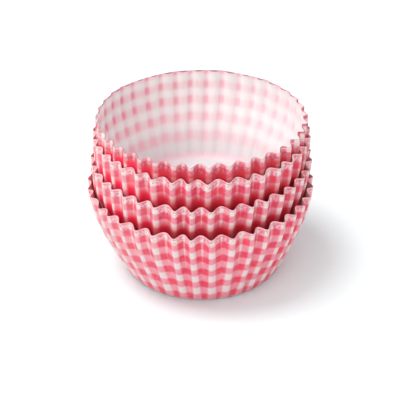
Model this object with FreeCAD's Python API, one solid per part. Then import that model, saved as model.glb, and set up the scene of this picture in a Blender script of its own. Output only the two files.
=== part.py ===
"""A stack of four pleated paper cupcake liners, nested in each other.

Every liner is one sheet of greaseproof paper, pressed from a flat disc: a plain round floor, a softly
bent foot and a bellied wall of rounded flutes that deepen towards the rim. All four come from the same
press, but each one is opened wider than the next by the liners that are wedged inside it. A liner goes down
into the one below until their flutes meet, so how high it sits follows from the two rims and the flutes.

Millimetres, +Z up. The origin is the centre of the underside of the bottom liner's floor.
"""

import FreeCAD
import Part

import math
import os

# One liner, as pressed
FLOOR_RADIUS = 23.6  # flat part of the floor, up to where the sheet starts to bend
FOOT_RUN = 2.5  # how far the bend of the foot comes out
FOOT_RISE = 2.3  # how high the bend of the foot goes up
LINER_HEIGHT = 29.6
BELLY_SHARE = 0.65  # how far up the wall it bellies out most
BELLY = 1.2  # how far it stands out there from a straight cone
PAPER = 0.12  # thickness of the sheet

# Flutes
FLUTES = 38
WAVE_CORNERS = (0, 45, 135, 180, 225, 315, 360)  # degrees of one flute where its facets meet
FOOT_DEPTH = 0.6  # from ridge to groove, where the wall leaves the foot
BELLY_DEPTH = 1.65  # from ridge to groove, where the wall bellies out most
RIM_DEPTH = 2.15  # from ridge to groove, at the rim
RIM_DIP = 0.6  # how much lower the rim ends on a ridge than in a groove, as the flat sheet is cut round

# The stack: rims are measured to the middle between ridges and grooves, turns in degrees of one flute
BOTTOM_RIM_RADIUS = 34.2
SECOND_RIM_RADIUS = 32.96
THIRD_RIM_RADIUS = 32.0
TOP_RIM_RADIUS = 31.0
ACROSS = 180.0  # ridges stand against the grooves of the liner below
HALF_MESHED = 85.0  # ridges reach about half of the way into the ridges of the liner below
MOSTLY_MESHED = 42.0  # ridges reach most of the way into the ridges of the liner below
SEAT_GAP = 0.3  # level clearance where two liners meet

FOOT_RADIUS = FLOOR_RADIUS + FOOT_RUN
WALL_RISE = LINER_HEIGHT - FOOT_RISE
PITCH = 360 / FLUTES
UP = FreeCAD.Vector(0, 0, 1)
AXIS_POINT = FreeCAD.Vector(0, 0, 0)


class Liner:
    """One pressed liner: how far its rim is opened, how its flutes are turned and where its floor lies."""

    def __init__(self, name, rim_radius, turn=0.0, floor_z=0.0):
        self.name = name
        self.rim_radius = rim_radius
        self.turn = turn
        self.floor_z = floor_z
        self.foot_z = floor_z + FOOT_RISE
        self.belly_z = self.foot_z + WALL_RISE * BELLY_SHARE
        self.rim_z = floor_z + LINER_HEIGHT
        self.belly_radius = FOOT_RADIUS + (rim_radius - FOOT_RADIUS) * BELLY_SHARE + BELLY

    def mean_radius(self, z):
        """Middle between ridges and grooves at height z of the stack."""
        return self.between(z, FOOT_RADIUS, self.belly_radius, self.rim_radius)

    def half_depth(self, z):
        """Half of the depth from ridge to groove at height z of the stack."""
        return self.between(z, FOOT_DEPTH, BELLY_DEPTH, RIM_DEPTH) / 2

    def between(self, z, at_foot, at_belly, at_rim):
        """What a size is at height z, when it changes evenly from foot to belly and from there to rim."""
        if z < self.belly_z:
            return at_foot + (at_belly - at_foot) * (z - self.foot_z) / (self.belly_z - self.foot_z)
        return at_belly + (at_rim - at_belly) * (z - self.belly_z) / (self.rim_z - self.belly_z)

    def level_thickness(self):
        """Thickness of the sheet measured level, which is more than PAPER because the wall leans."""
        lean = math.atan2(self.rim_radius - FOOT_RADIUS, WALL_RISE)
        return PAPER / math.cos(lean)


def clearance(inner, outer, z):
    """Least level clearance between two nested liners at height z.

    The gap between two waves with as many flutes changes round the axis as a wave does, too, and its half
    depth comes from those of the two and from the turn between them, by the law of cosines.
    """
    inner_half = inner.half_depth(z)
    outer_half = outer.half_depth(z)
    cosine = math.cos(math.radians(inner.turn - outer.turn))
    gap_half = math.sqrt(inner_half**2 + outer_half**2 - 2 * inner_half * outer_half * cosine)
    return outer.mean_radius(z) - outer.level_thickness() - inner.mean_radius(z) - gap_half


def seated(name, rim_radius, turn_from_below, below):
    """A liner lowered into the one below until their flutes meet at some height."""
    turn = below.turn + turn_from_below
    too_low = below.floor_z
    clear = below.rim_z
    while clear - too_low > SEAT_GAP / 100:
        floor_z = (too_low + clear) / 2
        liner = Liner(name, rim_radius, turn, floor_z)
        heights = (below.rim_z, liner.foot_z, max(below.belly_z, liner.foot_z), min(liner.belly_z, below.rim_z))
        if min(clearance(liner, below, z) for z in heights) < SEAT_GAP:
            too_low = floor_z
        else:
            clear = floor_z
    return Liner(name, rim_radius, turn, clear)


def flute_corners(radius, half_depth, z, turn, dip=0.0):
    """Corners of one flute at one level, from ridge to ridge, seen from above; dip lowers the ridge."""
    corners = []
    for wave_angle in WAVE_CORNERS:
        angle = math.radians((wave_angle - turn) / FLUTES)
        wave = math.cos(math.radians(wave_angle))
        reach = radius + half_depth * wave
        corners.append(FreeCAD.Vector(reach * math.cos(angle), reach * math.sin(angle), z - dip / 2 * wave))
    return corners


def floor_corners(radius, z, turn):
    """The floor's two corners at the ends of one flute."""
    angles = (math.radians((wave_angle - turn) / FLUTES) for wave_angle in (0, 360))
    return [FreeCAD.Vector(radius * math.cos(angle), radius * math.sin(angle), z) for angle in angles]


def inset(corners, distance):
    """The same corners moved in by distance, square to the two facets that meet there."""
    before = FreeCAD.Rotation(UP, -PITCH).multVec(corners[-2])
    after = FreeCAD.Rotation(UP, PITCH).multVec(corners[1])
    chain = [before, *corners, after]
    moved = []
    for left, here, right in zip(chain, chain[1:], chain[2:]):
        first = UP.cross(here - left).normalize()
        second = UP.cross(right - here).normalize()
        moved.append(here + (first + second) * (distance / (1 + first.dot(second))))
    return moved


def facets(lower, upper):
    """Flat three-cornered facets between two levels of one flute, alike on both sides of its groove."""
    faces = []
    facet_count = len(WAVE_CORNERS) - 1
    for step in range(facet_count):
        a, b = lower[step], lower[step + 1]
        c, d = upper[step + 1], upper[step]
        if step < facet_count // 2:
            loops = ([a, b, c, a], [a, c, d, a])
        else:
            loops = ([a, b, d, a], [b, c, d, b])
        faces.extend(Part.Face(Part.makePolygon(loop)) for loop in loops)
    return faces


def fan(floor, foot):
    """Flat three-cornered facets from the floor's two corners to the foot of one flute."""
    middle = len(foot) // 2
    loops = [[floor[0], here, after, floor[0]] for here, after in zip(foot[:middle], foot[1 : middle + 1])]
    loops.append([floor[0], foot[middle], floor[1], floor[0]])
    loops.extend([floor[1], here, after, floor[1]] for here, after in zip(foot[middle:], foot[middle + 1 :]))
    return [Part.Face(Part.makePolygon(loop)) for loop in loops]


def floor_face(corners):
    """The flat floor, with one corner to a flute."""
    ring = [FreeCAD.Rotation(UP, flute * PITCH).multVec(corners[0]) for flute in range(FLUTES + 1)]
    return Part.Face(Part.makePolygon(ring))


def pressed_solid(liner):
    """The liner as one solid: one flute of the sheet, repeated round the axis, and the two floor faces."""
    outside = [
        flute_corners(FOOT_RADIUS, FOOT_DEPTH / 2, liner.foot_z, liner.turn),
        flute_corners(liner.belly_radius, BELLY_DEPTH / 2, liner.belly_z, liner.turn),
        flute_corners(liner.rim_radius, RIM_DEPTH / 2, liner.rim_z, liner.turn, RIM_DIP),
    ]
    inside = [inset(corners, liner.level_thickness()) for corners in outside]
    under = floor_corners(FLOOR_RADIUS, liner.floor_z, liner.turn)
    upper_side = floor_corners(FLOOR_RADIUS - PAPER, liner.floor_z + PAPER, liner.turn)
    flute = facets(outside[-1], inside[-1])
    for floor, side in ((under, outside), (upper_side, inside)):
        flute.extend(fan(floor, side[0]))
        for lower, upper in zip(side, side[1:]):
            flute.extend(facets(lower, upper))
    faces = [floor_face(under), floor_face(upper_side)]
    for number in range(FLUTES):
        for face in flute:
            turned = face.copy()
            turned.rotate(AXIS_POINT, UP, number * PITCH)
            faces.append(turned)
    skin = Part.Compound(faces)
    skin.sewShape()
    return Part.Solid(skin.Shells[0])


def stack():
    """The four liners from the bottom up."""
    bottom = Liner("bottom_liner", BOTTOM_RIM_RADIUS)
    second = seated("second_liner", SECOND_RIM_RADIUS, ACROSS, bottom)
    third = seated("third_liner", THIRD_RIM_RADIUS, HALF_MESHED, second)
    top = seated("top_liner", TOP_RIM_RADIUS, MOSTLY_MESHED, third)
    return [bottom, second, third, top]


def main():
    os.makedirs("parts", exist_ok=True)
    for liner in stack():
        solid = pressed_solid(liner)
        solid.exportStep(f"parts/{liner.name}.step")
        print(f"{liner.name}: floor at {liner.floor_z:.3f}, volume {solid.Volume:.1f}")


main()
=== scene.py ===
"""The looks of a stack of four pleated cupcake liners, in greaseproof paper with a red and white check.

Each liner is drawn as a flat sheet, pressed into a fluted cup in vertex code, given the thickness of
paper and dressed with a printed outside, a bare inside through which the print shows, and a cut edge.
Lengths in the classes are in millimetres, and turns of the flutes in degrees of one flute. The meshes
are in metres, in the frame's own place.
"""

import logging
import math
import random
from dataclasses import dataclass
from enum import Enum

import bpy
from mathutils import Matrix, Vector


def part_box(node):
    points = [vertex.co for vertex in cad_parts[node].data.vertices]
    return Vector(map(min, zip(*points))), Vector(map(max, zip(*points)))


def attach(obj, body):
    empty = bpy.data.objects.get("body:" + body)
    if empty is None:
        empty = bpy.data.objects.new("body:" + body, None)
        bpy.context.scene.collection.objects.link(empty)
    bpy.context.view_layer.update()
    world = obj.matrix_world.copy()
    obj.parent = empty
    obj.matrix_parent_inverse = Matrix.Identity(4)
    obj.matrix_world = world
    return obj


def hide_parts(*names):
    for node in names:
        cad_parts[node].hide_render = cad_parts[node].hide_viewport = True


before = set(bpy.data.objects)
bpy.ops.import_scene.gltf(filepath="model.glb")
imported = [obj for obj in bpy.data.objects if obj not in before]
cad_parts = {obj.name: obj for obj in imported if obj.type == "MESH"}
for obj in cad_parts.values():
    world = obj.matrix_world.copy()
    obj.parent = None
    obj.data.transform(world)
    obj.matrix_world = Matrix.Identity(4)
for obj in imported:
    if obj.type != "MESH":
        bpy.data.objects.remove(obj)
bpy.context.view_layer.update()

Tree = bpy.types.NodeTree
Socket = bpy.types.NodeSocket
Pair = tuple[float, float]

MM = 0.001
PRINT_MAP = "SheetMillimetres"
ON_FLOOR = 0.999  # share of the floor's radius within which the middle of a face lies on the floor
COLOUR_MIX = {"data_type": "RGBA", "output": 2}  # it takes its two colours at inputs 6 and 7
SMOOTH = {"interpolation_type": "SMOOTHSTEP"}
log = logging.getLogger("cupcake_liners")


class Side(Enum):
    """Which part of the sheet a material slot of a liner dresses."""

    OUTSIDE = 0
    INSIDE = 1
    EDGE = 2


def linear(hex_colour: str) -> tuple[float, float, float, float]:
    """Turns an sRGB colour into the linear one that shaders take.

    Args:
        hex_colour: Six hexadecimal digits after a hash.

    Returns:
        Red, green, blue and an alpha of 1.
    """
    channels = [int(hex_colour[i : i + 2], 16) / 255 for i in (1, 3, 5)]
    red, green, blue = (c / 12.92 if c <= 0.04045 else ((c + 0.055) / 1.055) ** 2.4 for c in channels)
    return red, green, blue, 1.0


def add_node(
    tree: Tree, kind: str, links: dict | None = None, output: int | str = 0, **settings: object
) -> Socket | None:
    """Adds one node with its settings, its socket values and its links.

    Args:
        tree: The node tree that gets the node.
        kind: The node's type, without the ShaderNode in front.
        links: Input name or number to a value, or to the output socket that feeds it.
        output: Name or number of the output that is wanted.
        **settings: Properties of the node itself, such as operation.

    Returns:
        That output, or nothing for a node without outputs.
    """
    node = tree.nodes.new("ShaderNode" + kind)
    for name, value in settings.items():
        setattr(node, name, value)
    for key, value in (links or {}).items():
        if isinstance(value, Socket):
            tree.links.new(value, node.inputs[key])
        else:
            node.inputs[key].default_value = value
    return node.outputs[output] if node.outputs else None


def limits(
    value: Socket, seen: Pair, given: tuple[float | Socket, float | Socket] = (0.0, 1.0)
) -> dict[str, float | Socket]:
    """What a node that maps one range to another is told.

    Args:
        value: The socket that is mapped.
        seen: The values of it at the two ends of the range.
        given: What those two become, each a number or a socket.

    Returns:
        The node's inputs.
    """
    (low, high), (to_low, to_high) = seen, given
    return {"Value": value, "From Min": low, "From Max": high, "To Min": to_low, "To Max": to_high}


@dataclass(frozen=True)
class SheetMaterial:
    """A material laid out on the flat sheet, and the places in millimetres that its patterns read."""

    material: bpy.types.Material
    tree: Tree
    place: Socket  # in the stack
    across: Socket  # across a flute, from its ridge
    along: Socket  # along the flutes, 0 near the rim and less towards the floor

    @classmethod
    def start(cls, name: str) -> "SheetMaterial":
        """Starts a material with an empty node tree and the sockets that say where a point is.

        Args:
            name: The material's name.

        Returns:
            The material, ready for its patterns.
        """
        material = bpy.data.materials.new(name)
        material.use_nodes = True
        tree = material.node_tree
        tree.nodes.clear()
        laid_out = add_node(tree, "UVMap", uv_map=PRINT_MAP)
        metres = add_node(tree, "TexCoord", output="Object")
        place = add_node(tree, "VectorMath", {0: metres, "Scale": 1 / MM}, operation="SCALE")
        across = add_node(tree, "SeparateXYZ", {0: laid_out}, output="X")
        along = add_node(tree, "SeparateXYZ", {0: laid_out}, output="Y")
        return cls(material, tree, place, across, along)


@dataclass(frozen=True)
class CheckPrint:
    """A two-way check: white, half-tone and full-tone squares where columns and rows of ink cross."""

    column_period: float = 5.25
    row_period: float = 5.5
    floor_period: float = 5.2
    ink_edge: float = 0.42

    def stripe(self, tree: Tree, place: Socket, period: float, edge: float) -> Socket:
        """Draws one set of stripes, with the middle of a white one at 0.

        Args:
            tree: The material's node tree.
            place: Distance across the stripes in millimetres.
            period: From one white stripe to the next in millimetres.
            edge: How far the ink's edge is smeared in millimetres.

        Returns:
            A socket that is 0 on white and 1 on ink.
        """
        away = add_node(tree, "Math", {0: place, 1: period / 2}, operation="PINGPONG")
        edges = (period / 4 - edge, period / 4 + edge)
        return add_node(tree, "MapRange", limits(away, edges), **SMOOTH)


@dataclass(frozen=True)
class PressedPaper:
    """Greaseproof paper, beaten dense and pressed hot into flutes."""

    # To the eye: soft light with no clear highlight, a pale bloom where the flutes turn away, a faint
    # grain, creases that run up the wall, and a little light that comes through the sheet from behind.
    # Real fibres are a tenth as wide as fibre says, and are drawn coarser so that they show at all.
    roughness: float = 0.62
    ior: float = 1.47
    shine: float = 0.35
    sheen: float = 0.15
    sheen_roughness: float = 0.45
    fibre: float = 0.35
    crease: float = 0.9  # across a crease
    creases_up_wall: float = 0.12  # to the millimetre
    relief: float = 0.02
    relief_strength: float = 0.35
    see_through: float = 0.12
    glow: str = "#FFF6F4"
    glow_share: float = 0.7

    def surface(self, sheet: SheetMaterial, colour: Socket) -> None:
        """Adds the sheet's relief and shaders, and links them to the material's output.

        Args:
            sheet: The material that gets them.
            colour: The sheet's colour.
        """
        tree = sheet.tree
        grain = {"Vector": sheet.place, "Scale": 1 / self.fibre, "Detail": 3.0}
        fibres = add_node(tree, "TexNoise", grain)
        stretch = (1 / self.crease, 1 / self.crease, self.creases_up_wall)
        stretched = add_node(tree, "Mapping", {"Vector": sheet.place, "Scale": stretch})
        creases = add_node(tree, "TexNoise", {"Vector": stretched, "Scale": 1.0, "Detail": 2.0})
        height = add_node(tree, "Math", {0: fibres, 1: creases}, operation="ADD")
        relief = {"Height": height, "Strength": self.relief_strength, "Distance": self.relief * MM}
        bump = add_node(tree, "Bump", relief)
        front = {
            "Base Color": colour,
            "Roughness": self.roughness,
            "IOR": self.ior,
            "Specular IOR Level": self.shine,
            "Sheen Weight": self.sheen,
            "Sheen Roughness": self.sheen_roughness,
            "Normal": bump,
        }
        seen = add_node(tree, "BsdfPrincipled", front)
        tones = {0: self.glow_share, 6: colour, 7: linear(self.glow)}
        paler = add_node(tree, "Mix", tones, **COLOUR_MIX)
        glow = add_node(tree, "BsdfTranslucent", {"Color": paler, "Normal": bump})
        both = add_node(tree, "MixShader", {0: self.see_through, 1: seen, 2: glow})
        add_node(tree, "OutputMaterial", {"Surface": both})


@dataclass(frozen=True)
class PrintedOutside:
    """The printed face: translucent red ink on white paper, pink in a stripe and red at a crossing."""

    # To the eye: the ink is soaked into the sheet, so print and paper have the same dull gloss. It is a
    # little cloudy, drifts between a cool and a warm red, and is rubbed and cracked in specks at the
    # rim.
    # On the left it is paler, as painted light from the lamps there. Where a wall goes down into the
    # next
    # liner, it is painted deep red: shade and red bounced light between the two, lighter on the lit
    # left.
    paper: str = "#E0CFCC"
    half_tone: str = "#E67E92"
    full_tone: str = "#D92450"
    warm_tone: str = "#E53446"
    drift: float = 4.0  # across a patch of one hue
    drift_levels: Pair = (0.35, 0.65)
    mottle: float = 1.1  # across a cloud in the ink
    mottle_levels: Pair = (0.3, 0.7)
    mottle_share: float = 0.24
    # Painted light: the ink is paler on the left, where the lamps wash it out
    left_glare_at: Pair = (-30.0, -6.0)  # places to the right of the stack's middle
    left_glare_ink_share: float = 0.66
    # Painted shade where the wall goes into the liner below: deep red, lighter on the lit left, less on
    # ridges
    tucked_at: Pair = (0.42, 0.9)  # shares of the wall that stands clear, down from the rim
    painted_gap_tone: str = "#BF1028"
    painted_lit_gap_tone: str = "#F21844"
    lit_at: Pair = (-24.0, -8.0)  # places to the right of the stack's middle
    ridge_at: Pair = (0.6, 1.7)  # places across a flute where its ridge ends and its groove starts
    ridge_share: float = 0.8
    lit_ridge_share: float = 0.15
    rim_line: str = "#EBB4B6"
    rim_shade: str = "#D8687C"
    rim_width: float = 0.28
    line_reach: float = 1.2  # rim widths
    shade_down: float = 2.2  # rim widths
    speck: str = "#B8586E"
    chip: float = 0.7  # across a speck, coarser than a real crack in the ink so that it shows
    rubbed_levels: Pair = (0.5, 0.62)
    cracked_levels: Pair = (0.44, 0.37)
    worn_down: float = 1.4
    worn_reach: float = 2.2
    wear: float = 0.55
    full_reach: float = 0.25  # share of a soft line's reach within which it is full

    def make(
        self, name: str, check: CheckPrint, paper: PressedPaper, rim_at: float, shown: float
    ) -> bpy.types.Material:
        """Makes the material of a liner's outside.

        Args:
            name: The material's name.
            check: The printed check.
            paper: The sheet under it.
            rim_at: Where the sheet ends, in millimetres along the flutes.
            shown: How much of the wall stands clear of the liner below, in millimetres.

        Returns:
            The material.
        """
        sheet = SheetMaterial.start(name)
        tree = sheet.tree
        clouds = {"Vector": sheet.place, "Scale": 1 / self.mottle, "Detail": 2.0}
        cloud = add_node(tree, "TexNoise", clouds)
        right = add_node(tree, "SeparateXYZ", {0: sheet.place}, output="X")
        first, full = (rim_at - share * shown for share in self.tucked_at)
        tucked = add_node(tree, "MapRange", limits(sheet.along, (first, full)), **SMOOTH)
        ink = self.ink(sheet, cloud, right, tucked)
        printed = self.printed(sheet, check, ink)
        painted_gap_shade = self.painted_gap_shade(sheet, printed, right, tucked)
        paper.surface(sheet, self.worn(sheet, painted_gap_shade, cloud, rim_at))
        return sheet.material

    def ink(self, sheet: SheetMaterial, cloud: Socket, right: Socket, tucked: Socket) -> Socket:
        """Works out how much ink there is, cloudy, and paler on the left of what stands clear as
        painted light.

        Args:
            sheet: The material.
            cloud: Noise from 0 to 1.
            right: How far to the right of the stack's middle a point is.
            tucked: How far the wall has gone into the liner below, from 0 to 1.

        Returns:
            The share of ink.
        """
        tree = sheet.tree
        shares = (1 - self.mottle_share, 1.0)
        cloudy = add_node(tree, "MapRange", limits(cloud, self.mottle_levels, shares))
        # painted light: less ink on the left, but not where the wall is tucked into the liner below
        left_glare_fade = add_node(tree, "MapRange", limits(right, self.left_glare_at, (self.left_glare_ink_share, 1.0)))
        left_glare_fade = add_node(tree, "Math", {0: left_glare_fade, 1: tucked}, operation="MAXIMUM")
        return add_node(tree, "Math", {0: cloudy, 1: left_glare_fade}, operation="MULTIPLY")

    def printed(self, sheet: SheetMaterial, check: CheckPrint, ink: Socket) -> Socket:
        """Args:
            sheet: The material.
            check: The printed check.
            ink: The share of ink.

        Returns:
            The colour of the print.
        """
        tree = sheet.tree
        columns = check.stripe(tree, sheet.across, check.column_period, check.ink_edge)
        rows = check.stripe(tree, sheet.along, check.row_period, check.ink_edge)
        either = add_node(tree, "Math", {0: columns, 1: rows}, operation="MAXIMUM")
        both = add_node(tree, "Math", {0: columns, 1: rows}, operation="MULTIPLY")
        pale = add_node(tree, "Math", {0: either, 1: ink}, operation="MULTIPLY")
        deep = add_node(tree, "Math", {0: both, 1: ink}, operation="MULTIPLY")
        tones = {0: pale, 6: linear(self.paper), 7: linear(self.half_tone)}
        pink = add_node(tree, "Mix", tones, **COLOUR_MIX)
        drift = add_node(tree, "TexNoise", {"Vector": sheet.place, "Scale": 1 / self.drift})
        swing = add_node(tree, "MapRange", limits(drift, self.drift_levels))
        tones = {0: swing, 6: linear(self.full_tone), 7: linear(self.warm_tone)}
        tone = add_node(tree, "Mix", tones, **COLOUR_MIX)
        return add_node(tree, "Mix", {0: deep, 6: pink, 7: tone}, **COLOUR_MIX)

    def painted_gap_shade(self, sheet: SheetMaterial, printed: Socket, right: Socket, tucked: Socket) -> Socket:
        """Paints shade on the print: deep red where the wall goes into the liner below, most in
        grooves.

        Args:
            sheet: The material.
            printed: The colour of the print.
            right: How far to the right of the stack's middle a point is.
            tucked: How far the wall has gone into the liner below, from 0 to 1.

        Returns:
            The colour with its painted gap shade.
        """
        tree = sheet.tree
        unlit = add_node(tree, "MapRange", limits(right, self.lit_at))
        ridge_shares = (self.lit_ridge_share, self.ridge_share)
        on_ridge = add_node(tree, "MapRange", limits(unlit, (0.0, 1.0), ridge_shares))
        aside = add_node(tree, "Math", {0: sheet.across}, operation="ABSOLUTE")
        depth = add_node(tree, "MapRange", limits(aside, self.ridge_at, (on_ridge, 1.0)))
        # painted shade: deep red in the gap, most of all in grooves
        share = add_node(tree, "Math", {0: tucked, 1: depth}, operation="MULTIPLY")
        tones = {0: unlit, 6: linear(self.painted_lit_gap_tone), 7: linear(self.painted_gap_tone)}
        deepest = add_node(tree, "Mix", tones, **COLOUR_MIX)
        return add_node(tree, "Mix", {0: share, 6: printed, 7: deepest}, **COLOUR_MIX)

    def worn(self, sheet: SheetMaterial, painted_gap_shade: Socket, cloud: Socket, rim_at: float) -> Socket:
        """Rubs and cracks the ink near the rim, and draws the pale line and the shade along it.

        Args:
            sheet: The material.
            painted_gap_shade: The colour of the face, with its painted gap shade.
            cloud: Noise from 0 to 1.
            rim_at: Where the sheet ends, in millimetres along the flutes.

        Returns:
            The colour with its wear.
        """
        tree = sheet.tree
        colour = painted_gap_shade
        worn = self.line(sheet, rim_at - self.worn_down, self.worn_reach)
        flecks = {"Vector": sheet.place, "Scale": 1 / self.chip, "Detail": 1.0}
        chips = add_node(tree, "TexNoise", flecks)
        for levels, tone in ((self.rubbed_levels, self.paper), (self.cracked_levels, self.speck)):
            specks = add_node(tree, "MapRange", limits(chips, levels))
            near_rim = add_node(tree, "Math", {0: worn, 1: specks}, operation="MULTIPLY")
            share = add_node(tree, "Math", {0: near_rim, 1: self.wear}, operation="MULTIPLY")
            colour = add_node(tree, "Mix", {0: share, 6: colour, 7: linear(tone)}, **COLOUR_MIX)
        under_rim = self.line(sheet, rim_at - self.shade_down * self.rim_width, self.rim_width)
        faint = add_node(tree, "Math", {0: under_rim, 1: cloud}, operation="MULTIPLY")
        colour = add_node(tree, "Mix", {0: faint, 6: colour, 7: linear(self.rim_shade)}, **COLOUR_MIX)
        at_rim = self.line(sheet, rim_at, self.line_reach * self.rim_width)
        return add_node(tree, "Mix", {0: at_rim, 6: colour, 7: linear(self.rim_line)}, **COLOUR_MIX)

    def line(self, sheet: SheetMaterial, middle: float, reach: float) -> Socket:
        """Marks a soft line round the wall.

        Args:
            sheet: The material.
            middle: Where the line's middle is, in millimetres along the flutes.
            reach: Where it has faded, in millimetres from its middle.

        Returns:
            A socket that is 1 on the line and 0 away from it.
        """
        tree = sheet.tree
        gap = add_node(tree, "Math", {0: sheet.along, 1: middle}, operation="SUBTRACT")
        away = add_node(tree, "Math", {0: gap}, operation="ABSOLUTE")
        return add_node(tree, "MapRange", limits(away, (reach, self.full_reach * reach)), **SMOOTH)


@dataclass(frozen=True)
class BareInside:
    """The bare face: white paper through which rows of print show, with columns near the rim."""

    # The tips of the top liner's teeth are a darker mauve, above a given height.
    paper: str = "#EDE9E8"
    ink: str = "#EE7C98"
    row_share: float = 0.24
    column_share: float = 0.15
    crossing_share: float = 0.28
    blur: float = 0.9  # how far the ink's edge is smeared by the sheet
    columns_at: Pair = (-26.0, -9.0)  # places along the flutes where columns start and are full
    rows_at: Pair = (-28.0, -24.0)  # places along the flutes where rows start and are full
    # Painted shade: the paper turns to a darker tone further down the wall
    painted_shade_paper: str = "#CCC8CA"
    painted_shade_at: Pair = (-15.0, -28.0)  # places along the flutes
    # Painted light: the print that shows through is stronger on the shaded left and washed out on the
    # lit right
    inside_glare_at: Pair = (-28.0, 24.0)  # places to the right of the stack's middle
    inside_glare_shares: Pair = (1.3, 0.55)
    tip_tone: str = "#B0607C"
    tip_share: float = 0.8
    tips_from: float = 1000.0  # height in the stack, and far above it where there are none
    tip_run: float = 0.2

    def make(self, name: str, check: CheckPrint, paper: PressedPaper) -> bpy.types.Material:
        """Makes the material of a liner's inside.

        Args:
            name: The material's name.
            paper: The sheet.

        Returns:
            The material.
        """
        sheet = SheetMaterial.start(name)
        tree = sheet.tree
        share = self.shown_print(sheet, check)
        # painted shade: darker paper further down the wall
        deep = add_node(tree, "MapRange", limits(sheet.along, self.painted_shade_at))
        tones = {0: deep, 6: linear(self.paper), 7: linear(self.painted_shade_paper)}
        white = add_node(tree, "Mix", tones, **COLOUR_MIX)
        printed = add_node(tree, "Mix", {0: share, 6: white, 7: linear(self.ink)}, **COLOUR_MIX)
        up = add_node(tree, "SeparateXYZ", {0: sheet.place}, output="Z")
        ends = (self.tips_from, self.tips_from + self.tip_run)
        tips = add_node(tree, "MapRange", limits(up, ends, (0.0, self.tip_share)))
        tones = {0: tips, 6: printed, 7: linear(self.tip_tone)}
        paper.surface(sheet, add_node(tree, "Mix", tones, **COLOUR_MIX))
        return sheet.material

    def shown_print(self, sheet: SheetMaterial, check: CheckPrint) -> Socket:
        """Works out how much of the print shows through the sheet, painted paler on the lit right.

        Args:
            sheet: The material.

        Returns:
            The share of ink.
        """
        tree = sheet.tree
        columns = check.stripe(tree, sheet.across, check.column_period, self.blur)
        rows = check.stripe(tree, sheet.along, check.row_period, self.blur)
        fade = add_node(tree, "MapRange", limits(sheet.along, self.columns_at))
        upright = add_node(tree, "Math", {0: columns, 1: fade}, operation="MULTIPLY")
        on_wall = add_node(tree, "MapRange", limits(sheet.along, self.rows_at))
        level = add_node(tree, "Math", {0: rows, 1: on_wall}, operation="MULTIPLY")
        crossing = add_node(tree, "Math", {0: rows, 1: upright}, operation="MULTIPLY")
        share = add_node(tree, "Math", {0: upright, 1: self.column_share}, operation="MULTIPLY")
        for part, shown in ((level, self.row_share), (crossing, self.crossing_share)):
            share = add_node(tree, "Math", {0: part, 1: shown, 2: share}, operation="MULTIPLY_ADD")
        # painted light: fainter print on the lit right, stronger on the shaded left
        right = add_node(tree, "SeparateXYZ", {0: sheet.place}, output="X")
        faint = add_node(tree, "MapRange", limits(right, self.inside_glare_at, self.inside_glare_shares))
        return add_node(tree, "Math", {0: share, 1: faint}, operation="MULTIPLY")


@dataclass(frozen=True)
class CutEdge:
    """The cut edge of the sheet: paper with some of the ink in it."""

    # To the eye: a hair-thin line along the rim, uneven in tone from fibre to fibre.
    colour: str = "#EDA3AA"
    fibre_tone: str = "#DC8592"

    def make(self, name: str, paper: PressedPaper) -> bpy.types.Material:
        """Makes the material of a liner's cut edge.

        Args:
            name: The material's name.
            paper: The sheet.

        Returns:
            The material.
        """
        sheet = SheetMaterial.start(name)
        fibres = add_node(sheet.tree, "TexNoise", {"Vector": sheet.place, "Scale": 1 / paper.fibre})
        tones = {0: fibres, 6: linear(self.colour), 7: linear(self.fibre_tone)}
        paper.surface(sheet, add_node(sheet.tree, "Mix", tones, **COLOUR_MIX))
        return sheet.material


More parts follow.
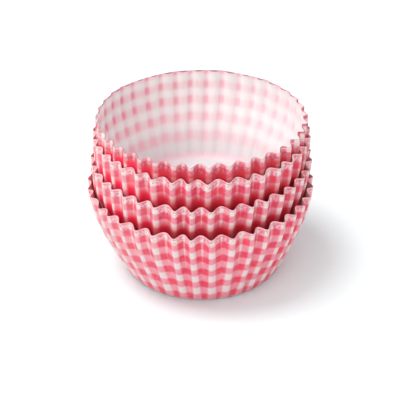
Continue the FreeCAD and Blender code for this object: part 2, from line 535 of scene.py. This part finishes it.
@dataclass
class Liner:
    """One pressed liner: a flat sheet with a plain floor, a bent foot and a wall of rounded flutes."""

    # Its own place in the stack, its own print and its own painted shade
    node: str
    floor_z: float
    rim_radius: float
    front_turn: float
    back_turn: float
    white_row: float
    seed: int
    shown: float
    # Deeper pink and red than the bottom liner's print: painted shade for the gaps between the liners
    outside: PrintedOutside = PrintedOutside(
        half_tone="#DF7188", full_tone="#CC1F48", warm_tone="#DC2E42"
    )
    # Below the rim, the insides of the liners that stand in another are painted red: painted shade and
    # red bounced light in the gaps. Their print also shows through more strongly.
    inside: BareInside = BareInside(
        paper="#F4DFE0",
        ink="#F03355",
        row_share=0.4,
        column_share=0.25,
        crossing_share=0.2,
        painted_shade_paper="#FA8896",
        painted_shade_at=(-1.5, -6.0),
    )
    edge: CutEdge = CutEdge()

    # The press that all four come from
    floor_radius: float = 23.6
    foot_run: float = 2.5
    foot_rise: float = 2.3
    foot_slack: float = 1.1
    foot_run_power: float = 0.75
    foot_rise_power: float = 1.7
    height: float = 29.6
    belly_share: float = 0.65
    belly: float = 1.2
    flutes: int = 38
    foot_depth: float = 0.6
    rim_depth: float = 2.15
    rim_dip: float = 0.6
    rim_power: int = 3
    sharpness: float = 0.1
    thickness: float = 0.12

    # The mesh
    columns: int = 16
    foot_rings: int = 5
    wall_rings: int = 16
    floor_inset: float = 0.1
    smooth_below: float = 62.0

    # Small differences between flutes, and between the sides of the stack
    fullness: float = 1.0
    uneven_depth: float = 0.16
    uneven_place: float = 0.06
    uneven_print: float = 0.4
    uneven_rows: float = 0.25
    uneven_height: float = 0.35
    stack_seed: int = 5
    calm_left: float = 0.42
    calm_right: float = 0.12
    calm_back: float = 0.25
    side_belly: float = 0.7
    right_share: float = 0.35
    # heights in the stack, each with how far the stack stands to the right there
    sway: tuple[Pair, ...] = ((0.0, 0.2), (29.6, -0.4), (38.0, -0.1), (52.0, 0.0))

    # Where the print lies on the sheet
    row_crowding: Pair = (1.1, 0.006)  # at the rim, and how much less for each millimetre below it
    floor_rows_down: int = 12
    back_slip: float = 0.0
    back_rise: float = 0.0
    back_fold: float = 3.2
    front_fold: float = 8.0
    back_starts: float = -0.7
    back_grows: float = 0.5

    def __post_init__(self) -> None:
        """Draws the small differences between one flute and the next."""
        own = random.Random(self.seed)
        shared = random.Random(self.stack_seed)
        flutes = range(self.flutes)
        self.depths = [self.fullness * (1 - self.uneven_depth * own.random()) for _ in flutes]
        self.places = [self.uneven_place * shared.uniform(-1, 1) for _ in flutes]
        self.leans = [self.uneven_place * shared.uniform(-1, 1) for _ in flutes]
        self.slips = [self.uneven_print * own.uniform(-1, 1) for _ in flutes]
        self.row_slips = [self.uneven_rows * own.uniform(-1, 1) for _ in flutes]
        self.heights = [self.uneven_height * own.random() for _ in flutes]

    @property
    def foot_radius(self) -> float:
        """Where the wall starts."""
        return self.floor_radius + self.foot_run

    @property
    def wall_length(self) -> float:
        """Length of the straight wall along its slope."""
        return math.hypot(self.rim_radius - self.foot_radius, self.height - self.foot_rise)

    @property
    def foot_length(self) -> float:
        """Length of the bent foot along the sheet."""
        return math.hypot(self.foot_run, self.foot_rise) * self.foot_slack

    @property
    def sheet_radius(self) -> float:
        """Radius of the flat sheet that the liner is pressed from."""
        return self.floor_radius + self.foot_length + self.wall_length

    def profile(self, out: float) -> tuple[float, float, float]:
        """Works out where a ring of the flat sheet lies once pressed.

        Args:
            out: Radius of the ring on the flat sheet.

        Returns:
            The ring's middle radius, its height over the floor and its half depth of flute.
        """
        if out <= self.floor_radius:
            return out, 0.0, 0.0
        bend = out - self.floor_radius
        if bend < self.foot_length:
            share = bend / self.foot_length
            run = self.foot_run * share**self.foot_run_power
            rise = self.foot_rise * share**self.foot_rise_power
            return self.floor_radius + run, rise, self.foot_depth / 2 * share
        share = min((bend - self.foot_length) / self.wall_length, 1.0)
        if share < self.belly_share:
            from_end = share / self.belly_share
        else:
            from_end = (1 - share) / (1 - self.belly_share)
        radius = self.foot_radius + (self.rim_radius - self.foot_radius) * share
        radius += self.belly * from_end * (2 - from_end)
        rise = self.foot_rise + (self.height - self.foot_rise) * share
        depth = self.foot_depth + (self.rim_depth - self.foot_depth) * share
        return radius, rise, depth / 2

    def ring_radii(self) -> list[float]:
        """Lists the rings of vertices from the foot to the rim.

        Returns:
            Their radii on the flat sheet.
        """
        foot = [i * self.foot_length / self.foot_rings for i in range(1, self.foot_rings + 1)]
        wall = [i * self.wall_length / self.wall_rings for i in range(1, self.wall_rings + 1)]
        start = self.floor_radius + self.foot_length
        return [self.floor_radius + out for out in foot] + [start + out for out in wall]

    def turn_at(self, angle: float) -> float:
        """How far the flutes are turned at an angle round the axis, in parts of one flute."""
        to_front = (1 - math.sin(angle)) / 2
        return (self.front_turn * to_front + self.back_turn * (1 - to_front)) / 360

    def calm_at(self, angle: float) -> float:
        """How deep the flutes are at an angle round the axis, as a share of those in front."""
        side = self.calm_left if math.cos(angle) < 0 else self.calm_right
        return 1 - side * math.cos(angle) ** 2 - self.calm_back * max(math.sin(angle), 0.0) ** 2

    def to_back(self, angle: float) -> float:
        """How much of the back's print there is at an angle round the axis, from 0 in front to 1."""
        return min(max((math.sin(angle) - self.back_starts) / self.back_grows, 0.0), 1.0)

    def wave(self, part: float) -> float:
        """Height of the flute's wave, from 1 on a ridge to -1 in a groove, a part of a flute away."""
        cosine = math.cos(2 * math.pi * part)
        return cosine - 2 * self.sharpness * (1 - cosine**2)

    def wave_shares(self, out: float) -> list[float]:
        """Works out how much of a flute's sheet lies between its ridge and each column of vertices.

        Args:
            out: Radius of the ring on the flat sheet.

        Returns:
            The shares, from 0 on the ridge to a half in the groove.
        """
        radius, _, half = self.profile(out)
        places = [step / self.columns for step in range(self.columns // 2 + 1)]
        spots = [(part * 2 * math.pi * radius / self.flutes, half * self.wave(part)) for part in places]
        lengths = [math.dist(here, after) for here, after in zip(spots, spots[1:])]
        return [sum(lengths[:step]) / sum(lengths) / 2 for step in range(len(spots))]

    def flat_sheet(self) -> bpy.types.Object:
        """Draws the flat sheet as a disc with rings of vertices, its printed side down.

        Returns:
            The sheet.
        """
        bpy.ops.object.select_all(action="DESELECT")
        bpy.ops.mesh.primitive_circle_add(
            vertices=self.flutes * self.columns, radius=self.floor_radius * MM, fill_type="NGON"
        )
        sheet = bpy.context.object
        sheet.name = self.node.replace("liner", "paper_liner")
        bpy.ops.object.mode_set(mode="EDIT")
        bpy.ops.mesh.select_all(action="SELECT")
        bpy.ops.mesh.inset(thickness=self.floor_radius * self.floor_inset * MM)
        bpy.ops.mesh.select_all(action="SELECT")
        bpy.ops.mesh.region_to_loop()
        last = self.floor_radius
        for radius in self.ring_radii():
            grown = radius / last
            bpy.ops.mesh.extrude_edges_move()
            bpy.ops.transform.resize(value=(grown, grown, 1.0), center_override=(0.0, 0.0, 0.0))
            last = radius
        bpy.ops.mesh.select_all(action="SELECT")
        bpy.ops.mesh.normals_make_consistent(inside=False)
        bpy.ops.object.mode_set(mode="OBJECT")
        if sheet.data.polygons[0].normal.z > 0:
            sheet.data.flip_normals()
        return sheet

    def lay_out_print(self, sheet: bpy.types.Object, check: CheckPrint) -> None:
        """Writes each corner's place on the sheet into the print's map.

        The check starts anew on every ridge, with a white column, and its rows run round the wall. The
        floor has a straight check.

        Args:
            sheet: The flat sheet.
            check: The printed check.
        """
        mesh = sheet.data
        while mesh.uv_layers:
            mesh.uv_layers.remove(mesh.uv_layers[0])
        layer = mesh.uv_layers.new(name=PRINT_MAP)
        shares: dict[float, list[float]] = {}
        for face in mesh.polygons:
            centre = face.center / MM
            on_floor = centre.to_2d().length < self.floor_radius * ON_FLOOR
            ridge = round(math.atan2(centre.y, centre.x) * self.flutes / (2 * math.pi))
            for loop in face.loop_indices:
                spot = mesh.vertices[mesh.loops[loop].vertex_index].co / MM
                if on_floor:
                    across = spot.x * check.column_period / check.floor_period
                    along = (spot.y / check.floor_period - self.floor_rows_down) * check.row_period
                else:
                    across, along = self.wall_print(spot, ridge, shares)
                layer.data[loop].uv = (across, along)

    def wall_print(self, spot: Vector, ridge: int, shares: dict[float, list[float]]) -> Pair:
        """Finds a point of the wall in the print, across and along the flute that it belongs to.

        Args:
            spot: The point on the flat sheet.
            ridge: The number of the flute's ridge.
            shares: What wave_shares gave for the rings so far, to which a new ring is added.

        Returns:
            The distance across the flute and the distance along it.
        """
        pitch = 2 * math.pi / self.flutes
        out = spot.to_2d().length
        turned = math.atan2(spot.y, spot.x) - ridge * pitch
        turned = (turned + math.pi) % (2 * math.pi) - math.pi
        step = round(turned / pitch * self.columns)
        ring = round(out, 3)  # the rings are much further apart than a thousandth of a millimetre
        if ring not in shares:
            shares[ring] = self.wave_shares(out)
        across = math.copysign(shares[ring][abs(step)], step) * pitch * out
        to_back = self.to_back(ridge * pitch)
        if self.back_slip:
            fold = self.back_fold + self.front_fold * (1 - to_back)
            across = max(-fold, min(fold, across))
        across += self.slips[ridge % self.flutes] + self.back_slip * to_back
        near_rim, less_below = self.row_crowding
        inwards = self.sheet_radius - out
        along = self.white_row - inwards * (near_rim - less_below * inwards)
        along += self.row_slips[ridge % self.flutes] + self.back_rise * to_back
        return across, along

    def at_flute(self, values: list[float], flute: float) -> float:
        """Works out what differs from flute to flute at a place between two of them.

        Args:
            values: One value for each flute.
            flute: The place, counted in flutes.

        Returns:
            The value there.
        """
        low = math.floor(flute)
        part = flute - low
        return values[low % self.flutes] * (1 - part) + values[(low + 1) % self.flutes] * part

    def press(self, sheet: bpy.types.Object) -> None:
        """Moves every vertex from its place on the flat sheet to its place on the pressed liner.

        Args:
            sheet: The flat sheet, which is changed.
        """
        for vertex in sheet.data.vertices:
            vertex.co = self.pressed(vertex.co / MM) * MM

    def pressed(self, spot: Vector) -> Vector:
        """Works out where a point of the flat sheet lies once pressed.

        Args:
            spot: The point on the flat sheet.

        Returns:
            Its place in the stack.
        """
        angle = math.atan2(spot.y, spot.x)
        radius, rise, half = self.profile(spot.to_2d().length)
        up_wall = rise / self.height
        flute = angle / (2 * math.pi) * self.flutes
        part = flute - math.floor(flute)
        shift = self.at_flute(self.places, flute) + self.at_flute(self.leans, flute) * up_wall
        at = (flute + shift - self.turn_at(angle)) * 2 * math.pi / self.flutes
        calm = self.calm_at(angle)
        depth = self.at_flute(self.depths, flute) * calm
        reach = radius + half * (depth * self.wave(part) + 1 - calm * self.fullness)
        fuller = self.side_belly * (1.0 if math.cos(angle) < 0 else self.right_share)
        reach += fuller * math.cos(angle) ** 2 * math.sin(math.pi * min(up_wall, 1.0)) ** 2
        dip = self.rim_dip / 2 * math.cos(2 * math.pi * part) + self.at_flute(self.heights, flute)
        z = self.floor_z + rise - dip * up_wall**self.rim_power
        return Vector((reach * math.cos(at) + self.aside(z), reach * math.sin(at), z))

    def aside(self, z: float) -> float:
        """Works out how far the stack stands to the right, because it was set down a little askew.

        Args:
            z: Height in the stack.

        Returns:
            The distance there.
        """
        for (low, there), (high, then) in zip(self.sway, self.sway[1:]):
            if z <= high:
                return there + (then - there) * max(z - low, 0.0) / (high - low)
        return self.sway[-1][1]

    def thicken(self, sheet: bpy.types.Object) -> None:
        """Gives the sheet the thickness of paper, inwards from its print, and smooths its shading.

        Args:
            sheet: The pressed sheet, which is changed.
        """
        bpy.ops.object.select_all(action="DESELECT")
        sheet.select_set(True)
        bpy.context.view_layer.objects.active = sheet
        solid = sheet.modifiers.new("Paper", "SOLIDIFY")
        solid.thickness = self.thickness * MM
        solid.offset = -1.0
        solid.material_offset = Side.INSIDE.value
        solid.material_offset_rim = Side.EDGE.value
        bpy.ops.object.modifier_apply(modifier=solid.name)
        bpy.ops.object.shade_smooth_by_angle(angle=math.radians(self.smooth_below))

    def build(self, check: CheckPrint, paper: PressedPaper) -> bpy.types.Object:
        """Builds and dresses the liner, and says what it stands for.

        Args:
            check: The printed check.
            paper: The sheet's finish.

        Returns:
            The finished liner.
        """
        sheet = self.flat_sheet()
        self.lay_out_print(sheet, check)
        self.press(sheet)
        dressed = {
            Side.OUTSIDE: self.outside.make(
                f"{self.node} printed greaseproof paper", check, paper, self.white_row, self.shown
            ),
            Side.INSIDE: self.inside.make(f"{self.node} bare greaseproof paper", check, paper),
            Side.EDGE: self.edge.make(f"{self.node} cut paper edge", paper),
        }
        for side in Side:
            sheet.data.materials.append(dressed[side])
        self.thicken(sheet)
        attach(sheet, "root")
        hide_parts(self.node)
        return sheet


@dataclass(frozen=True)
class Stack:
    """The four liners, from the bottom up."""

    check: CheckPrint = CheckPrint()
    paper: PressedPaper = PressedPaper()
    all_shown: float = 1000.0  # more than the whole wall, for the liner that stands in no other
    dark_tips_up: float = 29.1  # over the top liner's floor

    def liners(self) -> list[Liner]:
        """Gives the liners their places in the stack, the turns of their flutes and their own prints.

        Returns:
            The liners, not built yet.
        """
        floors = {name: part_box(name)[0][2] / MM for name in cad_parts}
        bottom = Liner(
            "bottom_liner",
            floor_z=floors["bottom_liner"],
            rim_radius=34.2,
            front_turn=-43,
            back_turn=0,
            white_row=1.4,
            seed=11,
            shown=self.all_shown,
            side_belly=0.4,
            outside=PrintedOutside(),
        )
        second = Liner(
            "second_liner",
            floor_z=floors["second_liner"],
            rim_radius=32.96,
            front_turn=-29,
            back_turn=-180,
            white_row=1.2,
            seed=23,
            shown=10.5,
            side_belly=0.9,
        )
        third = Liner(
            "third_liner",
            floor_z=floors["third_liner"],
            rim_radius=32.0,
            front_turn=40,
            back_turn=-105,
            white_row=1.3,
            seed=37,
            shown=9.0,
            fullness=0.9,
            side_belly=1.1,
        )
        top = Liner(
            "top_liner",
            floor_z=floors["top_liner"],
            rim_radius=31.0,
            front_turn=11,
            back_turn=-68,
            white_row=-0.3,
            seed=41,
            shown=4.4,
            fullness=0.85,
            side_belly=1.1,
            back_slip=2.6,
            back_rise=2.9,
            # Still deeper print on the top liner: painted shade in its grooves and in the gap below it
            outside=PrintedOutside(
                half_tone="#CE3E5C", full_tone="#B00E34", warm_tone="#C21A34", wear=0.2
            ),
            inside=BareInside(tips_from=floors["top_liner"] + self.dark_tips_up),
            edge=CutEdge("#7A2442", "#A85670"),
        )
        return [bottom, second, third, top]

    def build(self) -> list[bpy.types.Object]:
        """Builds every liner and returns the finished ones."""
        return [liner.build(self.check, self.paper) for liner in self.liners()]


@dataclass(frozen=True)
class Lamp:
    """A wide lamp so far away that its light is even, like a big soft box in a studio."""

    name: str
    strength: float
    width: float
    elevation: float
    side: float

    def build(self) -> None:
        """Adds the lamp, at its elevation and turned round from the right, in degrees."""
        bpy.ops.object.select_all(action="DESELECT")
        turns = (0.0, math.radians(90 - self.elevation), math.radians(self.side))
        bpy.ops.object.light_add(type="SUN", rotation=turns)
        lamp = bpy.context.object
        lamp.name = self.name
        lamp.data.energy = self.strength
        lamp.data.angle = math.radians(self.width)


@dataclass(frozen=True)
class Studio:
    """A pale floor, plain soft light and the camera."""

    surroundings: float = 0.83
    lamps: tuple[Lamp, ...] = (
        Lamp("soft_box_above_left", 2.3, 26, elevation=68, side=182),
        Lamp("soft_box_in_front", 1.2, 50, elevation=32, side=240),
        Lamp("soft_box_at_right", 0.5, 60, elevation=45, side=-10),
    )
    # Painted board: to the eye a floor with no highlight, only the soft shadow of the stack
    floor_colour: str = "#D2D8D9"
    floor_roughness: float = 0.9
    floor_metres: float = 3.0
    view_distance: float = 330.0
    view_elevation: float = 31.5
    view_centre_height: float = 25.0
    focal_pixels: float = 1050.0
    picture_side: float = 400.0
    centre_pixel: Pair = (201.8, 189.0)
    sensor_width: float = 36.0
    nearest_metres: float = 0.01

    def build_floor(self) -> None:
        """Adds the floor that the stack stands on."""
        bpy.ops.object.select_all(action="DESELECT")
        bpy.ops.mesh.primitive_plane_add(size=self.floor_metres)
        floor = bpy.context.object
        floor.name = "studio_floor"
        material = bpy.data.materials.new("white studio floor")
        material.use_nodes = True
        tree = material.node_tree
        tree.nodes.clear()
        paint = {
            "Base Color": linear(self.floor_colour),
            "Roughness": self.floor_roughness,
            "Specular IOR Level": 0.0,
        }
        add_node(tree, "OutputMaterial", {"Surface": add_node(tree, "BsdfPrincipled", paint)})
        floor.data.materials.append(material)

    def build_light(self) -> None:
        """Adds the lamps and the white surroundings, which look whiter than they light the stack."""
        white = linear("#FFFFFF")
        world = bpy.data.worlds.new("white surroundings")
        bpy.context.scene.world = world
        world.use_nodes = True
        tree = world.node_tree
        tree.nodes.clear()
        seen = add_node(tree, "Background", {"Color": white, "Strength": 1.0})
        felt = add_node(tree, "Background", {"Color": white, "Strength": self.surroundings})
        seen_by = add_node(tree, "LightPath", output="Is Camera Ray")
        for ray in ("Is Glossy Ray", "Is Transmission Ray"):
            also = add_node(tree, "LightPath", output=ray)
            seen_by = add_node(tree, "Math", {0: seen_by, 1: also}, operation="MAXIMUM")
        both = add_node(tree, "MixShader", {0: seen_by, 1: felt, 2: seen})
        add_node(tree, "OutputWorld", {"Surface": both})
        for lamp in self.lamps:
            lamp.build()

    def build_camera(self) -> None:
        """Adds the camera where the picture's ellipses place it."""
        data = bpy.data.cameras.new("camera")
        camera = bpy.data.objects.new("camera", data)
        bpy.context.scene.collection.objects.link(camera)
        down = math.radians(self.view_elevation)
        away = self.view_distance
        height = self.view_centre_height + away * math.sin(down)
        camera.location = Vector((0.0, -away * math.cos(down), height)) * MM
        camera.rotation_euler = (math.pi / 2 - down, 0.0, 0.0)
        data.sensor_width = self.sensor_width
        data.lens = self.focal_pixels / self.picture_side * self.sensor_width
        data.shift_x = 0.5 - self.centre_pixel[0] / self.picture_side
        data.shift_y = self.centre_pixel[1] / self.picture_side - 0.5
        data.clip_start = self.nearest_metres
        bpy.context.scene.camera = camera

    def build(self) -> None:
        """Builds the floor, the light and the camera."""
        self.build_floor()
        self.build_light()
        self.build_camera()
        bpy.context.scene.view_settings.view_transform = "Standard"


def main() -> None:
    """Builds the stack and the studio."""
    logging.basicConfig(level=logging.INFO, format="%(name)s %(message)s")
    for piece in Stack().build():
        log.info("%s: %d faces", piece.name, len(piece.data.polygons))
    Studio().build()
    log.info("floor, light and camera are in place")


if __name__ == "__main__":
    main()
